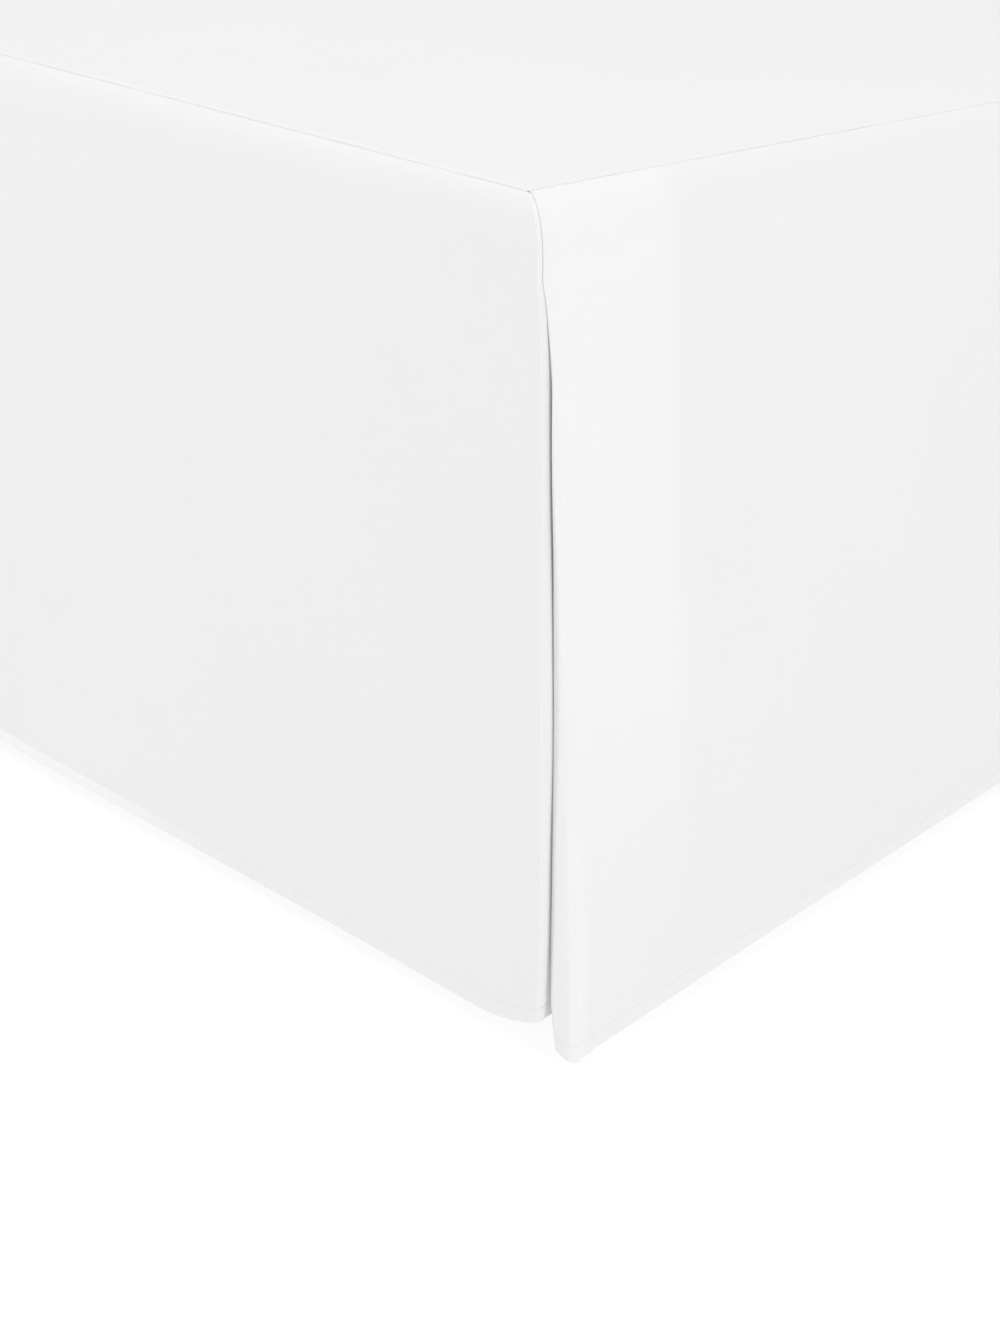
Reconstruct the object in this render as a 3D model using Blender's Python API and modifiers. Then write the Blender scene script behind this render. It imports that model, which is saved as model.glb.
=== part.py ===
"""A white bed skirt on a plain queen-size bed base.

The skirt is four pieces of cloth. The deck lies on the base. The foot drop and two side drops
are sewn round the deck, roll over the base's top edge and hang to just above the floor. The foot
drop turns both foot corners and runs on behind the side drops. Each side drop's leading edge
stands out from it and curls in, so the corners are split. The head end is open.

Metres, +Z up, the floor at Z 0, the head of the bed towards +Y.
"""

import math

import bmesh
import bpy

INCH = 0.0254
QUARTER_TURN = math.pi / 2
STRAIGHT = 1e-3  # a turn this small, in radians, is as good as none

# The base
BASE_WIDTH = 60 * INCH
BASE_LENGTH = 80 * INCH
BASE_DEPTH = 9 * INCH
BASE_TOP = 0.385
BASE_EDGE_RADIUS = 0.025
BASE_MIDDLE_Y = 0.012  # puts the origin under the middle of the base and skirt together
LEG_TOP_RADIUS = 0.032
LEG_FOOT_RADIUS = 0.022
LEG_INSET = 0.090
LEG_SIDES = 24
TOUCHING = 0.0003  # the gap between pieces that touch

# The cloth
CLOTH = 0.0015
HEM_CLOTH = 0.0024
HEM_DEPTH = 0.010
HEM_STEP = 0.0006  # how far above the hem's edge the cloth is single again
HEM_HEIGHT = 0.006

# The seam round the deck, and the roll over the base's edge below it
SEAM_INSET = 0.008
SEAM_GAP = 0.00045  # from the seam's line to the middle of a drop's top edge
SEAM_CORNER_RADIUS = 0.004
ROLL_DROP = 0.030
ROLL_STEPS = 5
HANG_STEPS = 7
SOFT_START = 0.03  # the share of the drop in which it bends from plumb to its slope

# The split corner: the foot drop turns it, and the side drop's leading edge stands off
TURN_STEPS = 5
HEM_LIFT = 0.0084  # how much the foot drop's hem rises to the end of its turn
LIFT_LENGTH = 0.046  # over which it rises
RETURN_LENGTH = 0.070
RETURN_COLUMNS = (1.0, 0.7, 0.35, 0.06)  # shares of the return, from its end, where its columns are
RETURN_TUCK = 0.0028  # how far the return lies below the side drop at the seam
RETURN_EASE = (0.0060, 0.008)  # how far the return comes in by its end, at the roll and the hem
SEAM_FOLD_BACK = 0.0040  # from the foot seam back to the side drop's fold, at the seam
FOLD_STEPS = 3
FOLD_LENGTH = (0.0015, 0.0045)  # round the fold, at the roll and at the hem
CURL_STEPS = 2
CURL_TURN = math.radians(100)
CURL_FULL_AT = 0.30  # the share of the drop by which the edge has its whole turn
BULGE_LENGTH = 0.18  # how far along the side drop its leading edge's bulge reaches

# The corner at each share of the drop: the radius of the foot drop's turn, how far its return is
# out from the side seam, how far back from the foot seam the side drop's fold is, how far its
# leading edge bulges out, and how much cloth curls in past the fold
CORNER = (
    (0.00, 0.0028, 0.0186, -0.0056, 0.0072, 0.0009),
    (0.12, 0.0024, 0.0220, -0.0046, 0.0076, 0.0009),
    (0.28, 0.0022, 0.0264, -0.0042, 0.0060, 0.0018),
    (0.42, 0.0022, 0.0297, -0.0028, 0.0051, 0.0049),
    (0.56, 0.0022, 0.0331, -0.0023, 0.0042, 0.0077),
    (0.70, 0.0024, 0.0366, -0.0037, 0.0032, 0.0089),
    (0.85, 0.0026, 0.0400, -0.0046, 0.0021, 0.0114),
    (0.94, 0.0028, 0.0417, -0.0057, 0.0015, 0.0118),
    (1.00, 0.0030, 0.0427, -0.0068, 0.0012, 0.0080),
)

# Columns of cloth, closer together towards the corners
SIDE_STEPS = 32
FOOT_STEPS = 14
CROWDING = 1.35

# How each drop hangs: distance along it from the corner at +X -Y or, on the other side drop,
# from its own foot corner, then how far it rolls out, and how much further its hem stands out
FOOT_FOLDS = (
    (0.00, 0.0114, -0.0004),
    (0.08, 0.0118, 0.0002),
    (0.20, 0.0135, 0.003),
    (0.37, 0.0125, 0.011),
    (0.60, 0.0120, 0.009),
    (0.86, 0.0132, 0.016),
    (1.12, 0.0120, 0.006),
    (1.34, 0.0128, 0.009),
    (1.52, 0.0120, 0.001),
)
RIGHT_FOLDS = (
    (0.00, 0.0134, 0.050),
    (0.16, 0.0138, 0.044),
    (0.38, 0.0134, 0.036),
    (0.66, 0.0140, 0.022),
    (0.95, 0.0134, 0.029),
    (1.24, 0.0142, 0.014),
    (1.52, 0.0136, 0.019),
    (1.80, 0.0140, 0.010),
    (2.03, 0.0134, 0.006),
)
LEFT_FOLDS = (
    (0.00, 0.0134, 0.051),
    (0.20, 0.0138, 0.039),
    (0.45, 0.0142, 0.024),
    (0.74, 0.0134, 0.031),
    (1.05, 0.0140, 0.017),
    (1.33, 0.0134, 0.022),
    (1.65, 0.0142, 0.010),
    (2.03, 0.0134, 0.008),
)

# Places worked out from the sizes above
SEAM_X = BASE_WIDTH / 2 - SEAM_INSET
FOOT_SEAM_Y = BASE_MIDDLE_Y - BASE_LENGTH / 2 + SEAM_INSET
HEAD_Y = BASE_MIDDLE_Y + BASE_LENGTH / 2
DECK_HEIGHT = BASE_TOP + TOUCHING + CLOTH / 2
ROLL_BOTTOM = DECK_HEIGHT - ROLL_DROP
HANG = ROLL_BOTTOM - HEM_HEIGHT
LEG_HEIGHT = BASE_TOP - BASE_DEPTH - TOUCHING

COLOURS = {
    "Skirt cloth": ((0.90, 0.90, 0.90), 0.85),
    "Base fabric": ((0.55, 0.54, 0.52), 0.9),
    "Leg wood": ((0.16, 0.09, 0.05), 0.45),
}


def clear_scene():
    for thing in list(bpy.data.objects):
        bpy.data.objects.remove(thing)


def material(name):
    """The named material, made the first time it is asked for."""
    found = bpy.data.materials.get(name)
    if found:
        return found
    colour, roughness = COLOURS[name]
    made = bpy.data.materials.new(name)
    made.use_nodes = True
    shader = made.node_tree.nodes["Principled BSDF"]
    shader.inputs["Base Color"].default_value = (*colour, 1)
    shader.inputs["Roughness"].default_value = roughness
    shader.inputs["Metallic"].default_value = 0
    made.diffuse_color = (*colour, 1)
    return made


def add_object(name, shape, material_name, parts):
    """An object made from a bmesh, which is then freed."""
    mesh = bpy.data.meshes.new(name)
    shape.to_mesh(mesh)
    shape.free()
    mesh.materials.append(material(material_name))
    made = bpy.data.objects.new(name, mesh)
    parts.objects.link(made)
    return made


def on_curve(folds, distance):
    """The other columns of a table of folds at that distance, on a smooth curve through its rows."""
    distance = min(max(distance, folds[0][0]), folds[-1][0])
    below = max(i for i, row in enumerate(folds[:-1]) if row[0] <= distance)
    start, end = folds[below], folds[below + 1]
    before, after = folds[max(below - 1, 0)], folds[min(below + 2, len(folds) - 1)]
    span = end[0] - start[0]
    share = (distance - start[0]) / span
    values = []
    for column in range(1, len(start)):
        slope_in = (end[column] - before[column]) / (end[0] - before[0])
        slope_out = (after[column] - start[column]) / (after[0] - start[0])
        values.append(
            (2 * share**3 - 3 * share**2 + 1) * start[column]
            + (share**3 - 2 * share**2 + share) * span * slope_in
            + (3 * share**2 - 2 * share**3) * end[column]
            + (share**3 - share**2) * span * slope_out
        )
    return values


def rows_down():
    """(roll, swing) of each row of a drop, from its seam to its hem.

    First roll turns a quarter with swing at 0, and then swing runs to 1 at the hem.
    """
    rolled = [(QUARTER_TURN * step / ROLL_STEPS, 0.0) for step in range(ROLL_STEPS)]
    above_hem = 1 - (HEM_DEPTH + HEM_STEP) / HANG
    hanging = [(QUARTER_TURN, above_hem * step / HANG_STEPS) for step in range(HANG_STEPS + 1)]
    hem = [(QUARTER_TURN, 1 - HEM_DEPTH / HANG), (QUARTER_TURN, 1.0)]
    return rolled + hanging + hem


def crowded(steps):
    """Shares from 0 to 1 that lie closer together towards 0."""
    return [(step / steps) ** CROWDING for step in range(steps + 1)]


def between(ends, share):
    return ends[0] + (ends[1] - ends[0]) * share


def flared(swing):
    """The share of the hem's flare reached at that share of the drop."""
    return (math.hypot(swing, SOFT_START) - SOFT_START) / (math.hypot(1, SOFT_START) - SOFT_START)


def rolled_out(reach, roll):
    """How far from the seam a drop that rolls out to reach is, at that turn of the roll."""
    return SEAM_GAP + (reach - SEAM_GAP) * math.sin(roll)


def height(roll, swing, tuck=0.0, lift=0.0):
    return DECK_HEIGHT - tuck - (ROLL_DROP - tuck) * (1 - math.cos(roll)) - swing * (HANG - lift)


def foot_point(hand, station, roll, swing):
    """A point of the foot drop. hand is 1 for the half at +X and -1 for the other.

    The station is 1 at the bed's middle and 0 where the drop starts to turn the corner. It
    reaches -1 at the end of the turn, and -2 at the end of the return behind the side drop.
    """
    from_corner = max(station, 0) * SEAM_X
    reach, flare = on_curve(FOOT_FOLDS, from_corner if hand > 0 else 2 * SEAM_X - from_corner)
    front = rolled_out(reach, roll) + flare * flared(swing)
    turn_radius, return_out = on_curve(CORNER, swing)[:2]
    radius = between((SEAM_CORNER_RADIUS, turn_radius), math.sin(roll))
    side = rolled_out(return_out, roll)
    turned = min(max(-station, 0), 1)
    behind = max(-station - 1, 0)
    side_in = between(RETURN_EASE, swing) * math.sin(roll) * behind
    in_from_corner = (
        radius - side
        + max(station, 0) * (SEAM_X - radius + side)
        - radius * math.sin(QUARTER_TURN * turned)
        + side_in
    )
    back_from_foot = (
        radius - front - radius * math.cos(QUARTER_TURN * turned) + behind * RETURN_LENGTH
    )
    tuck = RETURN_TUCK * math.sin(QUARTER_TURN * turned) ** 2
    from_turn_end = from_corner + (1 - turned) * QUARTER_TURN * radius
    lift = HEM_LIFT * max(1 - from_turn_end / LIFT_LENGTH, 0) ** 2
    return (
        hand * (SEAM_X - in_from_corner),
        FOOT_SEAM_Y + back_from_foot,
        height(roll, swing, tuck, lift),
    )


def side_point(hand, folds, station, roll, swing):
    """A point of a side drop. hand is 1 for the drop at +X and -1 for the one at -X.

    The station is 1 at the head end and 0 where the fold beside the foot corner starts. It
    reaches -1 at the end of the fold, and -2 at the end of the leading edge, which curls in.
    """
    fold_back, bulge, curl = on_curve(CORNER, swing)[2:]
    fold = between((SEAM_FOLD_BACK, fold_back), math.sin(roll))
    length = HEAD_Y - FOOT_SEAM_Y
    back_from_foot = fold + max(station, 0) * (length - fold)
    reach, flare = on_curve(folds, back_from_foot)
    bulge_left = max(1 - max(back_from_foot, 0) / BULGE_LENGTH, 0) ** 2
    outward = rolled_out(reach, roll) + flare * flared(swing) + bulge * bulge_left * math.sin(roll)
    if station < 0:
        grown = min(swing / CURL_FULL_AT, 1)
        turn = max(CURL_TURN * grown * (2 - grown), STRAIGHT)
        bent = turn * min(-station, 1)
        radius = between(FOLD_LENGTH, swing) / turn
        run = curl * max(-station - 1, 0)
        back_from_foot -= radius * math.sin(bent) + run * math.cos(turn)
        outward -= radius * (1 - math.cos(bent)) + run * math.sin(turn)
    return hand * (SEAM_X + outward), FOOT_SEAM_Y + back_from_foot, height(roll, swing)


def add_drop(name, columns, point_at, parts):
    """A sheet of cloth with its hem, through the points that point_at(column, roll, swing) gives."""
    rows = rows_down()
    shape = bmesh.new()
    bmesh.ops.create_grid(shape, x_segments=len(columns) - 1, y_segments=len(rows) - 1, size=1)
    shape.verts.ensure_lookup_table()
    for number, vertex in enumerate(shape.verts):
        row, column = divmod(number, len(columns))
        vertex.co = point_at(columns[column], *rows[row])
    drop = add_object(name, shape, "Skirt cloth", parts)
    hem_rows = drop.vertex_groups.new(name="Hem")
    first_of_hem = (len(rows) - 2) * len(columns)
    hem_rows.add(range(first_of_hem, len(drop.data.vertices)), 1.0, "REPLACE")
    solidify = drop.modifiers.new("Thickness", "SOLIDIFY")
    solidify.thickness = HEM_CLOTH
    solidify.offset = 0
    solidify.vertex_group = hem_rows.name
    solidify.thickness_vertex_group = CLOTH / HEM_CLOTH
    drop.data.shade_smooth()
    return drop


def add_foot_drop(parts):
    returned = [-1 - share for share in RETURN_COLUMNS]
    turned = [-step / TURN_STEPS for step in range(TURN_STEPS, 0, -1)]
    half = returned + turned + crowded(FOOT_STEPS)
    columns = [(1, station) for station in half] + [(-1, station) for station in half[-2::-1]]
    return add_drop(
        "foot_drop",
        columns,
        lambda column, roll, swing: foot_point(*column, roll, swing),
        parts,
    )


def add_side_drop(name, hand, folds, parts):
    curled = [-1 - step / CURL_STEPS for step in range(CURL_STEPS, 0, -1)]
    folded = [-step / FOLD_STEPS for step in range(FOLD_STEPS, 0, -1)]
    return add_drop(
        name,
        curled + folded + crowded(SIDE_STEPS),
        lambda station, roll, swing: side_point(hand, folds, station, roll, swing),
        parts,
    )


def add_box(name, low, high, material_name, parts):
    """A box between two corners."""
    shape = bmesh.new()
    bmesh.ops.create_cube(shape, size=1)
    for vertex in shape.verts:
        vertex.co = [
            lowest if side < 0 else highest
            for side, lowest, highest in zip(vertex.co, low, high)
        ]
    return add_object(name, shape, material_name, parts)


def round_edges(thing, radius, segments, upright_only=False):
    """Rounds every edge of a box, or only its upright ones."""
    if upright_only:
        weights = thing.data.attributes.new("bevel_weight_edge", "FLOAT", "EDGE")
        for edge, weight in zip(thing.data.edges, weights.data):
            start, end = (thing.data.vertices[i].co for i in edge.vertices)
            weight.value = float(start.xy == end.xy)
    bevel = thing.modifiers.new("Rounded edges", "BEVEL")
    bevel.limit_method = "WEIGHT" if upright_only else "ANGLE"
    bevel.width = radius
    bevel.segments = segments


def add_deck(parts):
    """The flat sheet on the base, out to the seam on three sides and to the head."""
    reach_x = SEAM_X - TOUCHING / 2
    foot_y = FOOT_SEAM_Y + TOUCHING / 2
    low = (-reach_x, foot_y, DECK_HEIGHT - CLOTH / 2)
    high = (reach_x, HEAD_Y - SEAM_INSET, DECK_HEIGHT + CLOTH / 2)
    deck = add_box("deck", low, high, "Skirt cloth", parts)
    round_edges(deck, SEAM_CORNER_RADIUS, 5, upright_only=True)
    return deck


def add_base(parts):
    low = (-BASE_WIDTH / 2, HEAD_Y - BASE_LENGTH, BASE_TOP - BASE_DEPTH)
    high = (BASE_WIDTH / 2, HEAD_Y, BASE_TOP)
    base = add_box("base", low, high, "Base fabric", parts)
    round_edges(base, BASE_EDGE_RADIUS, 5)
    base.data.shade_smooth()
    base.data.set_sharp_from_angle(angle=math.radians(40))
    return base


def add_leg(name, x, y, parts):
    """A round leg that tapers to a flat foot on the floor."""
    shape = bmesh.new()
    bmesh.ops.create_cone(
        shape,
        cap_ends=True,
        segments=LEG_SIDES,
        radius1=LEG_FOOT_RADIUS,
        radius2=LEG_TOP_RADIUS,
        depth=LEG_HEIGHT,
    )
    leg = add_object(name, shape, "Leg wood", parts)
    leg.location = (x, y, LEG_HEIGHT / 2)
    leg.data.shade_smooth()
    leg.data.set_sharp_from_angle(angle=math.radians(40))
    return leg


def add_legs(parts):
    """Three legs down each side of the base."""
    across = BASE_WIDTH / 2 - LEG_INSET
    along = BASE_LENGTH / 2 - LEG_INSET
    rows = (("foot", -along), ("middle", 0.0), ("head", along))
    for row, y in rows:
        for side, hand in (("left", -1), ("right", 1)):
            add_leg(f"leg_{row}_{side}", hand * across, BASE_MIDDLE_Y + y, parts)


def main():
    clear_scene()
    parts = bpy.data.collections.new("Bed skirt")
    bpy.context.scene.collection.children.link(parts)
    add_base(parts)
    add_legs(parts)
    add_deck(parts)
    add_foot_drop(parts)
    add_side_drop("side_drop_right", 1, RIGHT_FOLDS, parts)
    add_side_drop("side_drop_left", -1, LEFT_FOLDS, parts)


main()
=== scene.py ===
"""A white bed skirt with split foot corners on its plain bed base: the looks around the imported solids.

The deck and the three drops are thin sheets on the forms of their solids, with a turned-up hem and
its stitching. Each sheet is a grid of points on the face of the cloth that shows, with a relief of
seams, hems and soft waves, and a thickness on its other side. Metres, +Z up, foot towards -Y.
"""

import math

import bmesh
import bpy
from mathutils import Matrix, Vector, noise


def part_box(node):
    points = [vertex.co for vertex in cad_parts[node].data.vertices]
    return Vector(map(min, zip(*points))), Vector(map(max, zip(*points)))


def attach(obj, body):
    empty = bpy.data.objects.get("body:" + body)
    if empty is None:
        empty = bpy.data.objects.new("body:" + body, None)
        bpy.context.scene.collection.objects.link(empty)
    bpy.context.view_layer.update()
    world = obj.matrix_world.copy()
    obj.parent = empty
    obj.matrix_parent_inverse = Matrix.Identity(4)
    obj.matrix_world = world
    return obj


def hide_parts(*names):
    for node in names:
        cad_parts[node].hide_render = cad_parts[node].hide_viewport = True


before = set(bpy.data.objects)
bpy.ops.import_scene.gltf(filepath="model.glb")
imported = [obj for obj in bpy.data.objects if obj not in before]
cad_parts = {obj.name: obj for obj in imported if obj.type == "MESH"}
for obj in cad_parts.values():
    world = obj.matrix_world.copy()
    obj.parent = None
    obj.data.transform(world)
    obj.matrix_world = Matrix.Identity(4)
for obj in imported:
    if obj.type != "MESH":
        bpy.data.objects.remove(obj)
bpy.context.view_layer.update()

DECK_LOW, DECK_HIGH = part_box("deck")
BASE_LOW, BASE_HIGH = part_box("base")

QUARTER_TURN = math.pi / 2
STRAIGHT = 1e-3  # a turn this small, in radians, is as good as none
MM = 0.001

# How the cloth's solids are laid out
TOUCHING = 0.0003
ROLL_DROP = 0.030
SOFT_START = 0.03
SEAM_CORNER_RADIUS = 0.0012
SEAM_GAP = 0.0003  # from the seam's line to the edge of a drop
HEM_LIFT = 0.0106
LIFT_LENGTH = 0.040
FLAP_DROP = 0.0022  # how much lower the side drop hangs at its fold
FLAP_LENGTH = 0.016
RETURN_LENGTH = 0.070
RETURN_TUCK = 0.0006  # how much lower than the deck the foot drop starts once it has turned
RETURN_EASE = (0.0070, 0.008)  # how far in its end leans, at the top and at the hem
SEAM_FOLD_BACK = 0.0030  # where the side drop's fold starts at the seam
FOLD_LENGTH = (0.0015, 0.0045)  # at the top and at the hem
CURL_TURN = math.radians(100)
CURL_FROM = 0.12  # the share of the drop where it starts to curl in, and where it is full
CURL_FULL_AT = 0.36
BULGE_LENGTH = 0.18
EDGE_LENGTH = 0.006

# The corner at each share of the drop: the radius of the foot drop's turn, how far its return is
# out from the side seam, how far back from the foot seam the side drop's fold is, how far its
# leading part bulges out, how much further its edge does, and how much cloth curls in past the fold
CORNER = (
    (0.00, 0.0012, 0.0193, -0.0080, 0.0070, -0.0003, 0.0009),
    (0.04, 0.0006, 0.0211, -0.0060, 0.0071, 0.0001, 0.0009),
    (0.12, 0.0003, 0.0239, -0.0047, 0.0074, 0.0000, 0.0009),
    (0.28, 0.0003, 0.0280, -0.0042, 0.0061, 0.0002, 0.0014),
    (0.42, 0.0003, 0.0311, -0.0028, 0.0052, 0.0000, 0.0048),
    (0.56, 0.0003, 0.0344, -0.0023, 0.0043, 0.0000, 0.0077),
    (0.70, 0.0003, 0.0381, -0.0037, 0.0033, 0.0000, 0.0092),
    (0.85, 0.0004, 0.0412, -0.0042, 0.0021, 0.0000, 0.0120),
    (0.94, 0.0010, 0.0427, -0.0052, 0.0015, 0.0000, 0.0124),
    (1.00, 0.0018, 0.0436, -0.0068, 0.0012, 0.0000, 0.0080),
)

# How each drop hangs: the distance along it, how far it rolls out there, and how much further its
# hem stands out
FOOT_FOLDS = (
    (0.00, 0.0114, -0.0004),
    (0.08, 0.0118, 0.0002),
    (0.20, 0.0135, 0.003),
    (0.37, 0.0125, 0.011),
    (0.60, 0.0120, 0.009),
    (0.86, 0.0132, 0.016),
    (1.12, 0.0120, 0.006),
    (1.34, 0.0128, 0.009),
    (1.52, 0.0120, 0.001),
)
RIGHT_FOLDS = (
    (0.00, 0.0134, 0.050),
    (0.16, 0.0138, 0.044),
    (0.38, 0.0134, 0.036),
    (0.66, 0.0140, 0.022),
    (0.95, 0.0134, 0.029),
    (1.24, 0.0142, 0.014),
    (1.52, 0.0136, 0.019),
    (1.80, 0.0140, 0.010),
    (2.03, 0.0134, 0.006),
)
LEFT_FOLDS = (
    (0.00, 0.0134, 0.051),
    (0.20, 0.0138, 0.039),
    (0.45, 0.0142, 0.024),
    (0.74, 0.0134, 0.031),
    (1.05, 0.0140, 0.017),
    (1.33, 0.0134, 0.022),
    (1.65, 0.0142, 0.010),
    (2.03, 0.0134, 0.008),
)

# Places taken from the solids
SEAM_X = DECK_HIGH.x + TOUCHING / 2
FOOT_SEAM_Y = DECK_LOW.y - TOUCHING / 2
HEAD_Y = BASE_HIGH.y
DECK_HEIGHT = (DECK_LOW.z + DECK_HIGH.z) / 2
HEM_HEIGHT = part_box("foot_drop")[0].z
ROLL_BOTTOM = DECK_HEIGHT - ROLL_DROP
HANG = ROLL_BOTTOM - HEM_HEIGHT

# The real cloth, thinner than its solids
CLOTH = 0.6 * MM
DOUBLED = 1.0 * MM  # where it is turned back on itself at an upright edge
PRESSED = 0.3 * MM  # at the pressed edge itself
PRESSED_LENGTH = 2.5 * MM
FACE_OUT = 0.5 * MM  # from the middle of the solid to the face of the cloth that shows
HEM_GAP = 0.1 * MM  # between the two layers of the hem
HEM_STITCH_UP = 9 * MM
SIDE_HEM = 84 * MM
SIDE_HEM_EDGE = 20 * MM  # over which its inner edge shows
SIDE_HEM_PROUD = 0.3 * MM
HEAD_HEM = 12 * MM  # of the side drops and the deck
UPRIGHT_HEM_EASE = 20 * MM  # over which the upright hems come up below the seam

# The sheets' rows and columns, which lie closer together at the hems, the seams and the corners
ROLL_STEPS = 16
HANG_STEPS = 44
SIDE_STEPS = 250
FOOT_STEPS = 100
CROWDING = 1.35
RETURN_STEPS = 9
TURN_STEPS = 12
CURL_STEPS = 6
FOLD_STEPS = 8
HEM_TURN_STEPS = 6
HEM_ROWS_UP = [up * MM for up in (13, 11.5, 10.6, 10, 9.6, 9.3, 9, 8.7, 8.4, 8, 7.2, 6, 4.5, 3, 1.8)]
HEM_ROWS_BEHIND = [up * MM for up in (1, 2.5, 4.5, 6.5, 8.2, 9.3)]
HEAD_HEM_COLUMNS = [away * MM for away in (26, 16, 14, 13, 12.5, 12, 11.5, 11, 10, 8, 5, 2.5, 1, 0)]
NEAR_SEAM = [away * MM for away in (0, 0.8, 1.6, 2.6, 4, 7)]
DECK_PITCH = 12 * MM

# Soft waves and puckers, as how many there are in a metre along and down, and where the waves come
# up, as a start and a length
WIDE_WAVES = (3.1, 0.9)
FINE_WAVES = (8.3, 2.7)
DECK_WIDE_WAVES = (2.3, 1.7)
DECK_FINE_WAVES = (6.1, 7.9)
DROP_PUCKERS = (46, 9)
DECK_PUCKERS = (40, 40)
WAVES_ALONG = (0.34, 0.25)
WAVES_AT_HEAD = (0.0, 0.20)
WAVES_DOWN = (0.0, 0.38)
DECK_WAVES_INWARD = (0.0, 0.06)

# The crease of the seam and the puckers beside it
CREASE_DEPTH = 0.8 * MM
CREASE_WIDTH = 2.5 * MM
PUCKER_LENGTH = 14 * MM
PUCKER_HEIGHT = 0.30 * MM
PUCKERS_ALONG = (0.02, 0.06)

# How light the doubled cloth shows, with painted highlight on top, on a scale where 0 is a single
# layer and 1 the side hem, and where that changes, as a start and a length; above 1 it is painted highlight
FOOT_HEM_DOUBLED_AND_HIGHLIGHT = (0.2, 1.9)  # beside the corner, and further along, where most of it is painted highlight on the hem
FOOT_HEM_ALONG = (0.20, 0.14)
HEM_SHOWS = 0.3
SIDE_HEM_LOSS = 0.8  # towards the floor
SIDE_HEM_DOWN = (0.20, 0.15)
FOLD_PAINTED_HIGHLIGHT = 1.3  # painted highlight, low down, just behind the fold
FOLD_HIGHLIGHT_DOWN = (0.18, 0.12)
FOLD_HIGHLIGHT_BEHIND = 5 * MM
FOLD_HIGHLIGHT_WIDTH = 11 * MM

# Stitches
STITCH_PITCH = 3.2 * MM
STITCH_LENGTH = 2.5 * MM
THREAD = 0.36 * MM
STITCH_SIDES = 6
STITCH_RINGS = ((-0.5, 0.35), (-0.32, 1.0), (0.0, 1.12), (0.32, 1.0), (0.5, 0.35))  # place, girth


# Curves and blends


def smooth(share):
    """0 to 1, eased at both ends."""
    share = min(max(share, 0.0), 1.0)
    return share * share * (3 - 2 * share)


def ridge(offset, half_width):
    """1 on the line, down to 0 at half_width from it."""
    return smooth(1 - abs(offset) / half_width)


def on_curve(folds, distance):
    """The other columns of a table of folds at that distance, on a smooth curve through its rows."""
    distance = min(max(distance, folds[0][0]), folds[-1][0])
    below = max(i for i, row in enumerate(folds[:-1]) if row[0] <= distance)
    start, end = folds[below], folds[below + 1]
    before, after = folds[max(below - 1, 0)], folds[min(below + 2, len(folds) - 1)]
    span = end[0] - start[0]
    share = (distance - start[0]) / span
    values = []
    for column in range(1, len(start)):
        slope_in = (end[column] - before[column]) / (end[0] - before[0])
        slope_out = (after[column] - start[column]) / (after[0] - start[0])
        values.append(
            (2 * share**3 - 3 * share**2 + 1) * start[column]
            + (share**3 - 2 * share**2 + share) * span * slope_in
            + (3 * share**2 - 2 * share**3) * end[column]
            + (share**3 - share**2) * span * slope_out
        )
    return values


def crowded(steps):
    """Shares from 0 to 1 that lie closer together towards 0."""
    return [(step / steps) ** CROWDING for step in range(steps + 1)]


def between(ends, share):
    return ends[0] + (ends[1] - ends[0]) * share


def come_up(place, stretch):
    """0 to 1, eased over a stretch that is given as its start and its length."""
    return smooth((place - stretch[0]) / stretch[1])


def waves(along, down, per_metre, seed):
    """Smooth noise round 0, with about so many waves in a metre along and down."""
    return noise.noise(Vector((along * per_metre[0], down * per_metre[1], seed)))


# The forms of the solids


def flared(swing):
    """The share of the hem's flare reached at that share of the drop."""
    return (math.hypot(swing, SOFT_START) - SOFT_START) / (math.hypot(1, SOFT_START) - SOFT_START)


def rolled_out(reach, roll):
    """How far from the seam a drop that rolls out to reach is, at that turn of the roll."""
    return SEAM_GAP + (reach - SEAM_GAP) * math.sin(roll)


def height(roll, swing, tuck=0.0, lift=0.0):
    return DECK_HEIGHT - tuck - (ROLL_DROP - tuck) * (1 - math.cos(roll)) - swing * (HANG - lift)


def foot_point(hand, station, roll, swing):
    """A point of the foot drop. hand is 1 for the half at +X and -1 for the other.

    The station is 1 at the bed's middle and 0 where the drop starts to turn the corner. It
    reaches -1 at the end of the turn, and -2 at the end of the return behind the side drop.
    """
    from_corner = max(station, 0) * SEAM_X
    reach, flare = on_curve(FOOT_FOLDS, from_corner if hand > 0 else 2 * SEAM_X - from_corner)
    front = rolled_out(reach, roll) + flare * flared(swing)
    turn_radius, return_out = on_curve(CORNER, swing)[:2]
    radius = between((SEAM_CORNER_RADIUS, turn_radius), math.sin(roll))
    side = rolled_out(return_out, roll)
    turned = min(max(-station, 0), 1)
    behind = max(-station - 1, 0)
    side_in = between(RETURN_EASE, swing) * math.sin(roll) * behind
    in_from_corner = (
        radius - side
        + max(station, 0) * (SEAM_X - radius + side)
        - radius * math.sin(QUARTER_TURN * turned)
        + side_in
    )
    back_from_foot = (
        radius - front - radius * math.cos(QUARTER_TURN * turned) + behind * RETURN_LENGTH
    )
    tuck = RETURN_TUCK * math.sin(QUARTER_TURN * turned) ** 2
    from_turn_end = from_corner + (1 - turned) * QUARTER_TURN * radius
    lift = HEM_LIFT * max(1 - from_turn_end / LIFT_LENGTH, 0) ** 2
    up = height(roll, swing, tuck, lift)
    return Vector((hand * (SEAM_X - in_from_corner), FOOT_SEAM_Y + back_from_foot, up))


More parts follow.
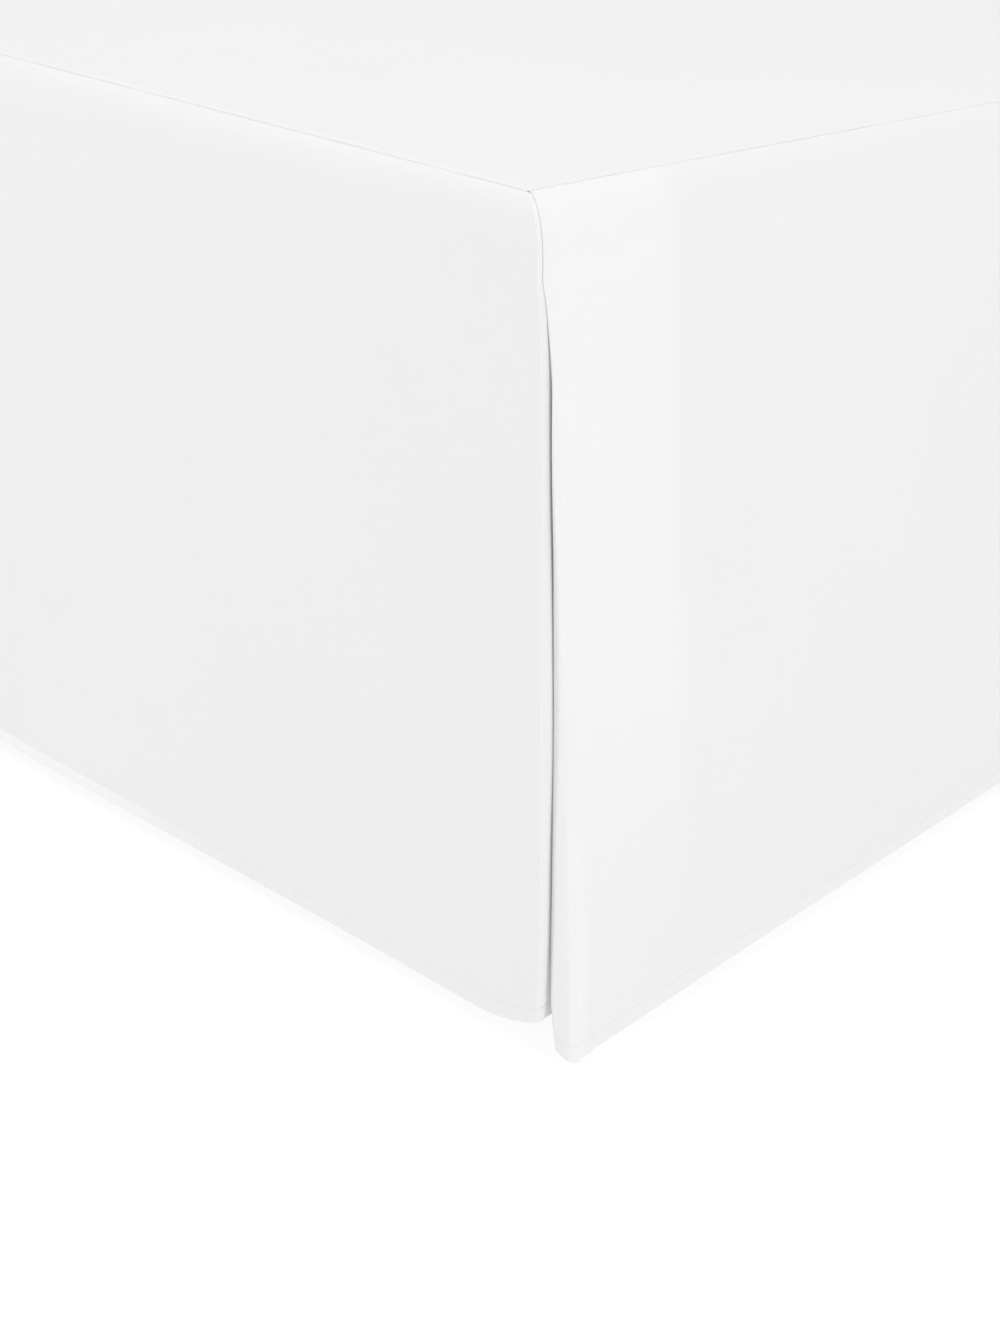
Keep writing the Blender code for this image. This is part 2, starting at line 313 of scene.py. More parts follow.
def side_point(hand, folds, station, roll, swing):
    """A point of a side drop. hand is 1 for the drop at +X and -1 for the one at -X.

    The station is 1 at the head end and 0 where the fold beside the foot corner starts. It
    reaches -1 at the end of the fold, and -2 at the end of the leading edge, which curls in.
    """
    fold_back, bulge, edge_out, curl = on_curve(CORNER, swing)[2:]
    fold = between((SEAM_FOLD_BACK, fold_back), math.sin(roll))
    length = HEAD_Y - FOOT_SEAM_Y
    back_from_foot = fold + max(station, 0) * (length - fold)
    reach, flare = on_curve(folds, back_from_foot)
    bulge_left = max(1 - max(back_from_foot, 0) / BULGE_LENGTH, 0) ** 2
    edge_left = max(1 - (back_from_foot - fold) / EDGE_LENGTH, 0) ** 2
    bulged = (bulge * bulge_left + edge_out * edge_left) * math.sin(roll)
    outward = rolled_out(reach, roll) + flare * flared(swing) + bulged
    lowered = FLAP_DROP * max(1 - (back_from_foot - fold) / FLAP_LENGTH, 0) ** 2
    if station < 0:
        grown = min(max((swing - CURL_FROM) / (CURL_FULL_AT - CURL_FROM), 0), 1)
        turn = max(CURL_TURN * grown * (2 - grown), STRAIGHT)
        bent = turn * min(-station, 1)
        radius = between(FOLD_LENGTH, swing) / turn
        run = curl * max(-station - 1, 0)
        back_from_foot -= radius * math.sin(bent) + run * math.cos(turn)
        outward -= radius * (1 - math.cos(bent)) + run * math.sin(turn)
    up = height(roll, swing, lift=-lowered)
    return Vector((hand * (SEAM_X + outward), FOOT_SEAM_Y + back_from_foot, up))


# Meshes


def object_from(shape, name, material):
    """A bmesh made into an object of one material, shaded smooth."""
    mesh = bpy.data.meshes.new(name)
    shape.to_mesh(mesh)
    shape.free()
    mesh.materials.append(material)
    mesh.shade_smooth()
    made = bpy.data.objects.new(name, mesh)
    bpy.context.scene.collection.objects.link(made)
    return made


def add_piece(piece):
    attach(piece, "root")
    return piece


# Sheets of cloth


class Sheet:
    """A grid of points on the cloth's face, its lengths along and down, and its outward normals."""

    def __init__(self, rows, facing):
        self.rows = rows
        self.facing = facing
        self.measure()

    def measure(self):
        """Lengths along the middle row and down the middle column, and a normal for each point."""
        middle_row = self.rows[len(self.rows) // 2]
        middle = len(middle_row) // 2
        self.along = [0.0]
        for start, end in zip(middle_row, middle_row[1:]):
            self.along.append(self.along[-1] + (end - start).length)
        self.down = [0.0]
        for above, below in zip(self.rows, self.rows[1:]):
            self.down.append(self.down[-1] + (below[middle] - above[middle]).length)
        self.normals = [
            [self.normal_at(row, column) for column in range(len(middle_row))]
            for row in range(len(self.rows))
        ]

    def normal_at(self, row, column):
        line = self.rows[row]
        along = line[min(column + 1, len(line) - 1)] - line[max(column - 1, 0)]
        above, below = self.rows[max(row - 1, 0)], self.rows[min(row + 1, len(self.rows) - 1)]
        return along.cross(below[column] - above[column]).normalized() * self.facing

    def raise_by(self, relief):
        """Moves each point out by relief(length along, length down)."""
        self.rows = [
            [
                point + normal * relief(self.along[column], self.down[row])
                for column, (point, normal) in enumerate(zip(points, normals))
            ]
            for row, (points, normals) in enumerate(zip(self.rows, self.normals))
        ]
        self.measure()

    def turn_hem_up(self, thickness_at):
        """Adds the hem's rows: the cloth turns under itself at the last row and runs up behind."""
        edge, above, normals = self.rows[-1], self.rows[-2], self.normals[-1]
        turns = [math.pi * step / HEM_TURN_STEPS for step in range(1, HEM_TURN_STEPS + 1)]
        added = [[] for _ in range(len(turns) + len(HEM_ROWS_BEHIND))]
        for point, higher, normal, along in zip(edge, above, normals, self.along):
            downward = (point - higher).normalized()
            radius = thickness_at(along) + HEM_GAP / 2
            for row, turn in zip(added, turns):
                row.append(point + radius * (downward * math.sin(turn) - normal * (1 - math.cos(turn))))
            for row, up in zip(added[len(turns):], HEM_ROWS_BEHIND):
                row.append(point - 2 * radius * normal - up * downward)
        self.rows += added
        self.measure()

    def line_along(self, row):
        """The points and normals of one row."""
        return list(zip(self.rows[row], self.normals[row]))

    def line_down(self, column):
        """The points and normals of one column."""
        return [(points[column], normals[column]) for points, normals in zip(self.rows, self.normals)]


def sheet_object(name, sheet, thickness_at, doubled_and_painted_highlight_at, material):
    """The sheet as an object, with its lengths as UVs and its thickness behind its face."""
    columns = len(sheet.along)
    shape = bmesh.new()
    bmesh.ops.create_grid(shape, x_segments=columns - 1, y_segments=len(sheet.rows) - 1, size=1)
    shape.verts.ensure_lookup_table()
    doubled_and_painted_highlight = shape.verts.layers.float.new("doubled_and_painted_highlight")
    lengths = shape.loops.layers.uv.new("Cloth")
    for number, vertex in enumerate(shape.verts):
        row, column = divmod(number, columns)
        vertex.co = sheet.rows[row][column]
        vertex[doubled_and_painted_highlight] = doubled_and_painted_highlight_at(sheet.along[column], sheet.down[row])
    for face in shape.faces:
        for loop in face.loops:
            row, column = divmod(loop.vert.index, columns)
            loop[lengths].uv = (sheet.along[column], sheet.down[row])
    if sheet.facing < 0:
        bmesh.ops.reverse_faces(shape, faces=shape.faces)
    made = object_from(shape, name, material)
    add_thickness(made, sheet, thickness_at)
    return made


def add_thickness(made, sheet, thickness_at):
    """Cloth of that thickness at each length along, and no thinner than where it is pressed."""
    columns = len(sheet.along)
    group = made.vertex_groups.new(name="Doubled")
    for column, along in enumerate(sheet.along):
        share = (thickness_at(along) - PRESSED) / (DOUBLED - PRESSED)
        if share > 0:
            group.add(range(column, columns * len(sheet.rows), columns), share, "REPLACE")
    solidify = made.modifiers.new("Thickness", "SOLIDIFY")
    solidify.thickness = DOUBLED
    solidify.offset = -1
    solidify.vertex_group = group.name
    solidify.thickness_vertex_group = PRESSED / DOUBLED
    solidify.use_even_offset = True


# Drops


def rows_down():
    """(roll, swing) of a drop's rows down to where its hem turns up, and the stitched row's number."""
    rolled = [(QUARTER_TURN * step / ROLL_STEPS, 0.0) for step in range(ROLL_STEPS)]
    above_hem = 1 - HEM_ROWS_UP[0] / HANG
    hanging = [(QUARTER_TURN, above_hem * share) for share in crowded(HANG_STEPS)[:-1]]
    hem = [(QUARTER_TURN, 1 - up / HANG) for up in HEM_ROWS_UP]
    return rolled + hanging + hem, len(rolled) + len(hanging) + HEM_ROWS_UP.index(HEM_STITCH_UP)


def drop_sheet(columns, point_at, facing):
    """The face of a drop from its seam to where the hem turns up."""
    rows, stitched = rows_down()
    sheet = Sheet([[point_at(column, roll, swing) for column in columns] for roll, swing in rows], facing)
    sheet.raise_by(lambda along, down: FACE_OUT)
    return sheet, stitched


def soft_wave(along, down, length, seed):
    """Low uneven waves that grow towards the hem and fade near a drop's ends, where it lies smooth."""
    uneven = waves(along, down, WIDE_WAVES, seed) + 0.35 * waves(along, down, FINE_WAVES, seed + 7.7)
    inside = come_up(along, WAVES_ALONG) * come_up(length - along, WAVES_AT_HEAD)
    return uneven * MM * (0.3 + 0.7 * come_up(down, WAVES_DOWN)) * (0.25 + 0.75 * inside)


def seam_relief(along, down, length, seed):
    """The crease at the seam and the small uneven puckers below it, which the corners are free of."""
    crease = CREASE_DEPTH * ridge(down, CREASE_WIDTH)
    pucker = waves(along, down, DROP_PUCKERS, seed) * ridge(down - 6 * MM, PUCKER_LENGTH)
    return PUCKER_HEIGHT * pucker * come_up(min(along, length - along), PUCKERS_ALONG) - crease


def hem_relief(up):
    """The hem's face stands a little proud of its stitches, which pull it in."""
    proud = 0.13 * MM * smooth((HEM_STITCH_UP - up) / (2.2 * MM))
    above = 0.06 * MM * smooth((up - HEM_STITCH_UP) / (2 * MM))
    return proud + above - 0.07 * MM * ridge(up - HEM_STITCH_UP, 1.3 * MM)


def head_hem_relief(away):
    """The narrow hem at the head end, with the dent of its stitches."""
    proud = 0.25 * MM * smooth((HEAD_HEM + MM - away) / (2 * MM))
    return proud - 0.15 * MM * ridge(away - HEAD_HEM, 1.5 * MM)


def in_hem(up):
    """1 in the turned-up hem and 0 above its stitches."""
    return smooth((HEM_STITCH_UP - up) / MM + 0.5)


def add_stitch(shape, middle, along, normal):
    """Adds a bead of thread that lies along the cloth: rings of points, joined and closed."""
    across = normal.cross(along).normalized()
    rings = []
    for offset, girth in STITCH_RINGS:
        centre = middle + along * offset * STITCH_LENGTH
        ring = []
        for side in range(STITCH_SIDES):
            angle = 2 * math.pi * side / STITCH_SIDES
            outward = normal * math.sin(angle) + across * math.cos(angle)
            ring.append(shape.verts.new(centre + outward * girth * THREAD / 2))
        rings.append(ring)
    for near, far in zip(rings, rings[1:]):
        for side in range(STITCH_SIDES):
            after = (side + 1) % STITCH_SIDES
            shape.faces.new((near[side], near[after], far[after], far[side]))
    shape.faces.new(rings[0][::-1])
    shape.faces.new(rings[-1])


def hem_stitches(name, line, thread):
    """A row of stitches along a line of (point, normal), as one mesh."""
    shape = bmesh.new()
    travelled, wanted = 0.0, STITCH_PITCH
    for (start, normal), (end, _) in zip(line, line[1:]):
        span = (end - start).length
        while wanted <= travelled + span:
            middle = start.lerp(end, (wanted - travelled) / span)
            add_stitch(shape, middle, (end - start).normalized(), normal)
            wanted += STITCH_PITCH
        travelled += span
    bmesh.ops.recalc_face_normals(shape, faces=shape.faces)
    return add_piece(object_from(shape, name, thread))


def foot_drop(cloth, thread):
    returned = [-1 - step / RETURN_STEPS for step in range(RETURN_STEPS, 0, -1)]
    turned = [-step / TURN_STEPS for step in range(TURN_STEPS, 0, -1)]
    half = returned + turned + crowded(FOOT_STEPS)
    columns = [(1, station) for station in half] + [(-1, station) for station in half[-2::-1]]
    sheet, stitched = drop_sheet(columns, lambda column, roll, swing: foot_point(*column, roll, swing), 1)
    length, bottom = sheet.along[-1], sheet.down[-1] + HEM_ROWS_UP[-1]

    def relief(along, down):
        return (
            soft_wave(along, down, length, 3.0)
            + seam_relief(along, down, length, 11.0)
            + hem_relief(bottom - down)
        )

    def doubled_and_painted_highlight(along, down):
        from_corner = min(along, length - along) - RETURN_LENGTH
        # The hem's doubled cloth, with painted highlight on it further from the corner
        return between(FOOT_HEM_DOUBLED_AND_HIGHLIGHT, come_up(from_corner, FOOT_HEM_ALONG)) * in_hem(bottom - down)

    sheet.raise_by(relief)
    line = sheet.line_along(stitched)
    sheet.turn_hem_up(lambda along: CLOTH)
    piece = sheet_object("foot_drop_cloth", sheet, lambda along: CLOTH, doubled_and_painted_highlight, cloth)
    add_piece(piece)
    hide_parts("foot_drop")
    stitches = hem_stitches("foot_drop_stitches", line, thread)


def side_drop(side, hand, folds, seed, cloth, thread):
    curled = [-1 - step / CURL_STEPS for step in range(CURL_STEPS, 0, -1)]
    folded = [-step / FOLD_STEPS for step in range(FOLD_STEPS, 0, -1)]
    head_hem = [1 - away / (HEAD_Y - FOOT_SEAM_Y) for away in HEAD_HEM_COLUMNS]
    columns = curled + folded + [share for share in crowded(SIDE_STEPS) if share < head_hem[0]] + head_hem
    sheet, stitched = drop_sheet(
        columns, lambda station, roll, swing: side_point(hand, folds, station, roll, swing), -hand
    )
    length, bottom = sheet.along[-1], sheet.down[-1] + HEM_ROWS_UP[-1]
    fold_at = sheet.along[len(curled) + len(folded)]

    def side_hem(along):
        return smooth((fold_at + SIDE_HEM - along) / SIDE_HEM_EDGE + 0.5)

    def relief(along, down):
        upright_hems = head_hem_relief(length - along) + SIDE_HEM_PROUD * side_hem(along)
        return (
            soft_wave(along, down, length, seed)
            + seam_relief(along, down, length, seed + 5)
            + hem_relief(bottom - down)
            + upright_hems * smooth(down / UPRIGHT_HEM_EASE)
        )

    def thickness(along):
        full = CLOTH + (DOUBLED - CLOTH) * side_hem(along)
        return between((PRESSED, full), smooth(along / PRESSED_LENGTH))

    def doubled_and_painted_highlight(along, down):
        upright = side_hem(along) * (1 - SIDE_HEM_LOSS * come_up(down, SIDE_HEM_DOWN))
        # A painted highlight just behind the fold and low down, lighter than the doubled side hem
        fold_highlight_band = ridge(along - fold_at - FOLD_HIGHLIGHT_BEHIND, FOLD_HIGHLIGHT_WIDTH)
        fold_painted_highlight = FOLD_PAINTED_HIGHLIGHT * come_up(down, FOLD_HIGHLIGHT_DOWN) * fold_highlight_band
        return max(upright, fold_painted_highlight, HEM_SHOWS * in_hem(bottom - down))

    sheet.raise_by(relief)
    line = sheet.line_along(stitched)
    head_line = sheet.line_down(HEAD_HEM_COLUMNS.index(HEAD_HEM) - len(HEAD_HEM_COLUMNS))
    sheet.turn_hem_up(thickness)
    piece = sheet_object(f"side_drop_{side}_cloth", sheet, thickness, doubled_and_painted_highlight, cloth)
    add_piece(piece)
    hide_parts(f"side_drop_{side}")
    stitches = [
        hem_stitches(f"side_drop_{side}_stitches", line, thread),
        hem_stitches(f"side_drop_{side}_head_stitches", head_line, thread),
    ]


# Deck


def edge_crowded(low, high, pitch, near_high):
    """Places from low to high, a pitch apart but for those near low and those that near_high lists."""
    start, end = low + NEAR_SEAM[-1], high - near_high[0]
    steps = round((end - start) / pitch)
    inner = [start + (end - start) * step / steps for step in range(1, steps)]
    return [low + away for away in NEAR_SEAM] + inner + [high - away for away in near_high]


def round_corner(x, y, low, high, radius):
    """Moves a point of a rectangle so that its corners are round."""
    middle = ((low[0] + high[0]) / 2, (low[1] + high[1]) / 2)
    half = ((high[0] - low[0]) / 2 - radius, (high[1] - low[1]) / 2 - radius)
    past = [(abs(value - centre) - reach) / radius for value, centre, reach in zip((x, y), middle, half)]
    if min(past) <= 0:
        return x, y
    a, b = past
    rounded = (a * math.sqrt(1 - b * b / 2), b * math.sqrt(1 - a * a / 2))
    return tuple(
        centre + math.copysign(reach + radius * share, value - centre)
        for value, centre, reach, share in zip((x, y), middle, half, rounded)
    )


def deck(cloth, thread):
    low, high = (DECK_LOW.x, DECK_LOW.y), (DECK_HIGH.x, DECK_HIGH.y)
    across = edge_crowded(low[0], high[0], DECK_PITCH, NEAR_SEAM[::-1])
    lengthwise = edge_crowded(low[1], high[1], DECK_PITCH, HEAD_HEM_COLUMNS)

    def point(x, y):
        return Vector((*round_corner(x, y, low, high, SEAM_CORNER_RADIUS), DECK_HEIGHT + FACE_OUT))

    sheet = Sheet([[point(x, y) for x in across] for y in lengthwise], 1)
    width, length = high[0] - low[0], high[1] - low[1]

    def relief(along, down):
        inset, from_head = min(along, width - along, down), length - down
        wide = waves(along, down, DECK_WIDE_WAVES, 21.0)
        fine = waves(along, down, DECK_FINE_WAVES, 33.0)
        inside = come_up(inset, DECK_WAVES_INWARD) * come_up(from_head, DECK_WAVES_INWARD)
        ripple = (0.55 * wide + 0.25 * fine) * MM * inside
        pucker = waves(along, down, DECK_PUCKERS, 44.0) * ridge(inset - 7 * MM, PUCKER_LENGTH)
        seam = 0.25 * MM * pucker - CREASE_DEPTH * ridge(inset, CREASE_WIDTH)
        return ripple + seam + head_hem_relief(from_head) * smooth(inset / (8 * MM))

    def doubled_and_painted_highlight(along, down):
        return HEM_SHOWS * (length - down < HEAD_HEM)

    sheet.raise_by(relief)
    line = sheet.line_along(HEAD_HEM_COLUMNS.index(HEAD_HEM) - len(HEAD_HEM_COLUMNS))
    piece = sheet_object("deck_cloth", sheet, lambda along: CLOTH, doubled_and_painted_highlight, cloth)
    add_piece(piece)
    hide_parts("deck")
    stitches = hem_stitches("deck_stitches", line, thread)


# Materials


THREAD_PITCH = 0.42 * MM
BASE_THREAD_PITCH = 1.1 * MM
DOUBLED_SHARE = 0.5  # of the lighter colour, where the doubled cloth shows as 1; above that it is painted highlight
UNDER_BED_PAINTED_SHADE = (0.74, 1.0)  # half the size of the painted shade under the bed, where the floor does not glow, across and lengthwise
FLOOR_GLOW = 0.91


def grey(level):
    return (level, level, level, 1)


class Nodes:
    """A material's nodes, added and linked one at a time."""

    def __init__(self, name):
        self.material = bpy.data.materials.new(name)
        self.material.use_nodes = True
        self.tree = self.material.node_tree
        self.shader = self.tree.nodes["Principled BSDF"]

    def add(self, kind, **settings):
        node = self.tree.nodes.new(kind)
        for name, value in settings.items():
            setattr(node, name, value)
        return node

    def put(self, node, **values):
        """Sets or links a node's inputs, by name with _ for a blank or by number as in i6."""
        for name, value in values.items():
            socket = node.inputs[int(name[1:]) if name[1:].isdigit() else name.replace("_", " ")]
            if isinstance(value, bpy.types.NodeSocket):
                self.tree.links.new(value, socket)
            else:
                socket.default_value = value
        return node

    def math(self, operation, first, second=0.0):
        return self.put(self.add("ShaderNodeMath", operation=operation), i0=first, i1=second).outputs[0]

    def mix(self, share, first, second):
        """A colour between two."""
        node = self.add("ShaderNodeMix", data_type="RGBA")
        return self.put(node, i0=share, i6=first, i7=second).outputs[2]

    def mapped(self, value, span, onto, **settings):
        """The value with one span mapped onto another, and held at its ends."""
        node = self.add("ShaderNodeMapRange", **settings)
        return self.put(node, Value=value, i1=span[0], i2=span[1], i3=onto[0], i4=onto[1]).outputs[0]

    def noise(self, place, scale, detail=2.0, stretch=(1, 1, 1)):
        mapping = self.put(self.add("ShaderNodeMapping"), Vector=place, Scale=stretch)
        texture = self.put(
            self.add("ShaderNodeTexNoise"), Vector=mapping.outputs[0], Scale=scale, Detail=detail
        )
        return texture.outputs[0]

    def bump(self, height, distance, strength):
        return self.put(
            self.add("ShaderNodeBump"), Height=height, Distance=distance, Strength=strength
        ).outputs[0]


def cloth_material():
    """Brushed white plain weave: crossing threads, slubs along both, and a soft nap."""
    made = Nodes("Brushed white cloth")
    lengths = made.add("ShaderNodeUVMap", uv_map="Cloth").outputs[0]
    apart = made.put(made.add("ShaderNodeSeparateXYZ"), i0=lengths)
    warp = made.math("SINE", made.math("MULTIPLY", apart.outputs[0], math.pi / THREAD_PITCH))
    weft = made.math("SINE", made.math("MULTIPLY", apart.outputs[1], math.pi / THREAD_PITCH))
    weave = made.math("MULTIPLY", warp, weft)
    slub_along = made.noise(lengths, 1.0, 3.0, stretch=(45, 1900, 1))
    slub_down = made.noise(lengths, 1.0, 3.0, stretch=(1900, 45, 1))
    slubs = made.math("ADD", slub_along, slub_down)
    nap = made.noise(lengths, 900.0, 3.0)
    cloud = made.noise(lengths, 9.0, 2.0)
    height = made.math("ADD", made.math("MULTIPLY", weave, 0.35), made.math("ADD", slubs, nap))
    shade = made.math("ADD", made.math("MULTIPLY", slubs, 0.5), made.math("MULTIPLY", cloud, 0.6))
    uneven = made.mapped(shade, (0.5, 1.1), (0.0, 1.0))
    single = made.mix(uneven, (0.885, 0.886, 0.887, 1), (0.905, 0.905, 0.904, 1))
    # The doubled cloth's lighter colour, with painted highlight on the foot hem and just behind the side
    # drop's fold
    layers = made.add("ShaderNodeAttribute", attribute_name="doubled_and_painted_highlight").outputs["Fac"]
    made.put(
        made.shader,
        Base_Color=made.mix(made.math("MULTIPLY", layers, DOUBLED_SHARE), single, grey(0.962)),
        Roughness=0.88,
        Specular_IOR_Level=0.2,
        Sheen_Weight=0.15,
        Sheen_Roughness=0.5,
        Normal=made.bump(height, 0.06 * MM, 0.35),
    )
    return made.material


def thread_material():
    """White sewing thread with a light twist."""
    made = Nodes("White thread")
    place = made.add("ShaderNodeTexCoord").outputs["Object"]
    twist = made.noise(place, 5000.0, 1.0)
    shades = made.mix(twist, grey(0.84), grey(0.93))
    made.put(made.shader, Base_Color=shades, Roughness=0.55, Sheen_Weight=0.2)
    return made.material


def base_material():
    """Grey-beige plain weave, stretched over the base."""
    made = Nodes("Base upholstery")
    place = made.add("ShaderNodeTexCoord").outputs["Object"]
    apart = made.put(made.add("ShaderNodeSeparateXYZ"), i0=place)
    turns = [made.math("MULTIPLY", axis, math.pi / BASE_THREAD_PITCH) for axis in apart.outputs]
    threads = [made.math("SINE", turn) for turn in turns]
    weave = made.math("ADD", made.math("ADD", threads[0], threads[1]), threads[2])
    fleck = made.noise(place, 420.0, 3.0)
    cloud = made.noise(place, 5.0, 2.0)
    shade = made.math("ADD", made.math("MULTIPLY", fleck, 0.7), made.math("MULTIPLY", cloud, 0.3))
    height = made.math("ADD", made.math("MULTIPLY", weave, 0.3), fleck)
    made.put(
        made.shader,
        Base_Color=made.mix(shade, (0.40, 0.39, 0.37, 1), (0.70, 0.69, 0.66, 1)),
        Roughness=0.9,
        Sheen_Weight=0.2,
        Normal=made.bump(height, 0.25 * MM, 0.6),
    )
    return made.material


def wood_material():
    """Dark stained wood with its grain along the leg."""
    made = Nodes("Stained wood")
    place = made.add("ShaderNodeTexCoord").outputs["Object"]
    grain = made.noise(place, 1.0, 5.0, stretch=(160, 160, 7))
    pores = made.noise(place, 1.0, 2.0, stretch=(900, 900, 40))
    mixed = made.math("ADD", made.math("MULTIPLY", grain, 0.75), made.math("MULTIPLY", pores, 0.25))
    made.put(
        made.shader,
        Base_Color=made.mix(mixed, (0.06, 0.030, 0.016, 1), (0.26, 0.145, 0.080, 1)),
        Roughness=made.mapped(pores, (0.3, 0.7), (0.36, 0.52)),
        Normal=made.bump(pores, 0.2 * MM, 0.4),
    )
    return made.material


def floor_material():
    """Studio paper made bright by its glow, which is left off under the bed as painted shade there."""
    made = Nodes("Pale floor")
    place = made.add("ShaderNodeTexCoord").outputs["Object"]
    apart = made.put(made.add("ShaderNodeSeparateXYZ"), i0=place)
    outside = [
        made.math("SUBTRACT", made.math("ABSOLUTE", axis), reach)
        for axis, reach in zip(apart.outputs, UNDER_BED_PAINTED_SHADE)
    ]
    farthest = made.math("MAXIMUM", *outside)
    # No glow under the bed, which leaves painted shade there
    glow = made.mapped(farthest, (-0.05, 0.0), (0.0, FLOOR_GLOW), interpolation_type="SMOOTHSTEP")
    made.put(
        made.shader,
        Base_Color=made.mix(made.noise(place, 1.5), grey(0.11), grey(0.13)),
        Roughness=0.9,
        Emission_Color=grey(1),
        Emission_Strength=glow,
    )
    return made.material


# Base and legs


BASE_EDGE = 25 * MM
EDGE_TURNS = (0, 9, 18, 27, 36, 42, 44, 45)  # degrees from the start to the middle of a rounded edge
COVER_PITCH = 40 * MM
COVER_PITCH_UP = 20 * MM
TURNED_UNDER = 45 * MM  # of the side cloth, on the underside
COVER_SEAM = 34 * MM  # from the top edge down to the seam round the sides
COVER_SEAM_WIDTH = 5 * MM  # to each side of its line
LEG_EDGE = 1.5 * MM

# How deep the cover is drawn in at its seams and on its underside, and at most by puckers and slack
COVER_SEAM_DEPTH = 1.1 * MM
CORNER_SEAM_DEPTH = 0.9 * MM
UNDER_DEPTH = 0.5 * MM
COVER_PUCKERS = 0.4 * MM
COVER_SLACK = 0.9 * MM


def across_edge(half, pitch, extra=()):
    """Places from -half to half: a pitch apart, in even turns round both edges, and at the extra places."""
    flat = half - BASE_EDGE
    steps = round(2 * flat / pitch)
    turns = [flat + BASE_EDGE * math.tan(math.radians(turn)) for turn in EDGE_TURNS]
    places = [-flat + 2 * flat * step / steps for step in range(1, steps)]
    return sorted(set(places + turns[:-1] + [-place for place in turns[:-1]] + list(extra)))


def rounded_box(shape, half):
    """Moves the points of a box's faces onto the same box with round edges."""
    for vertex in shape.verts:
        inner = Vector(min(max(c, BASE_EDGE - h), h - BASE_EDGE) for c, h in zip(vertex.co, half))
        vertex.co = inner + (vertex.co - inner).normalized() * BASE_EDGE


def cover_relief(place, half):
    """How far the cover is drawn in: at its seams and corners, under the base, and a little all over."""
    down = half.z - place.z
    outside = max(abs(place.x) - half.x, abs(place.y) - half.y) + BASE_EDGE
    on_side = smooth(outside / (8 * MM))
    seam = ridge(down - COVER_SEAM, COVER_SEAM_WIDTH) * on_side
    pucker = noise.noise(place * 34) * ridge(down - COVER_SEAM, 26 * MM) * on_side
    from_corner = abs(abs(place.x) - half.x - abs(place.y) + half.y)
    below_seam = smooth((down - COVER_SEAM) / COVER_SEAM_WIDTH)
    upright = ridge(from_corner, COVER_SEAM_WIDTH) * below_seam * smooth((outside - 12 * MM) / (5 * MM))
    inside = min(half.x - abs(place.x), half.y - abs(place.y))
    under = smooth((inside - TURNED_UNDER) / (2 * MM)) * (place.z < 0)
    slack = 0.5 + 0.5 * noise.noise(place * 2.6)
    return (
        COVER_SEAM_DEPTH * seam
        + CORNER_SEAM_DEPTH * upright
        + UNDER_DEPTH * under
        + COVER_PUCKERS * (0.5 + 0.5 * pucker)
        + COVER_SLACK * slack * (1 - 0.3 * on_side)
    )


def base_cover(material):
    """The base's upholstery: the solid's form with seams round its sides and down its corners."""
    middle, half = (BASE_LOW + BASE_HIGH) / 2, (BASE_HIGH - BASE_LOW) / 2
    seam_lines = [half.z - COVER_SEAM + offset * MM for offset in (-5, -3, -1.5, 0, 1.5, 3, 5)]
    edges = [TURNED_UNDER + offset * MM for offset in (0, 1, 2)]
    cuts = (
        across_edge(half.x, COVER_PITCH, [side * (half.x - edge) for edge in edges for side in (-1, 1)]),
        across_edge(half.y, COVER_PITCH, [side * (half.y - edge) for edge in edges for side in (-1, 1)]),
        across_edge(half.z, COVER_PITCH_UP, seam_lines),
    )
    shape = bmesh.new()
    bmesh.ops.create_cube(shape, size=1, matrix=Matrix.Diagonal((*(2 * half), 1)))
    for axis, places in enumerate(cuts):
        normal = Vector(axis == other for other in range(3))
        for place in places:
            geometry = shape.verts[:] + shape.edges[:] + shape.faces[:]
            bmesh.ops.bisect_plane(
                shape, geom=geometry, dist=1e-6, plane_co=normal * place, plane_no=normal
            )
    rounded_box(shape, half)
    shape.normal_update()
    moves = [(vertex, vertex.normal * cover_relief(vertex.co, half)) for vertex in shape.verts]
    for vertex, move in moves:
        vertex.co = middle + vertex.co - move
    cover = object_from(shape, "base_cover", material)
    add_piece(cover)
    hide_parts("base")


def dress_legs(material):
    for name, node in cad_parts.items():
        if name.startswith("leg_"):
            node.data.materials.clear()
            node.data.materials.append(material)
            bevel = node.modifiers.new("Softened edges", "BEVEL")
            bevel.width = LEG_EDGE
            bevel.segments = 3
            bevel.limit_method = "ANGLE"


# Studio


PHOTO_SIDES = (1000, 1333)
SENSOR = 36.0
FOCAL_PIXELS = 2130
EYE = (1.3259, -1.6173, 0.5745)
LOOKING = (-0.678, 0.7346)  # the way that the camera faces, seen from above
PITCH = math.radians(25.2)
ROLL = math.radians(2.93)
NEAREST = 0.01
FLOOR_SIZE = 20
SKY_STRENGTH = 0.52

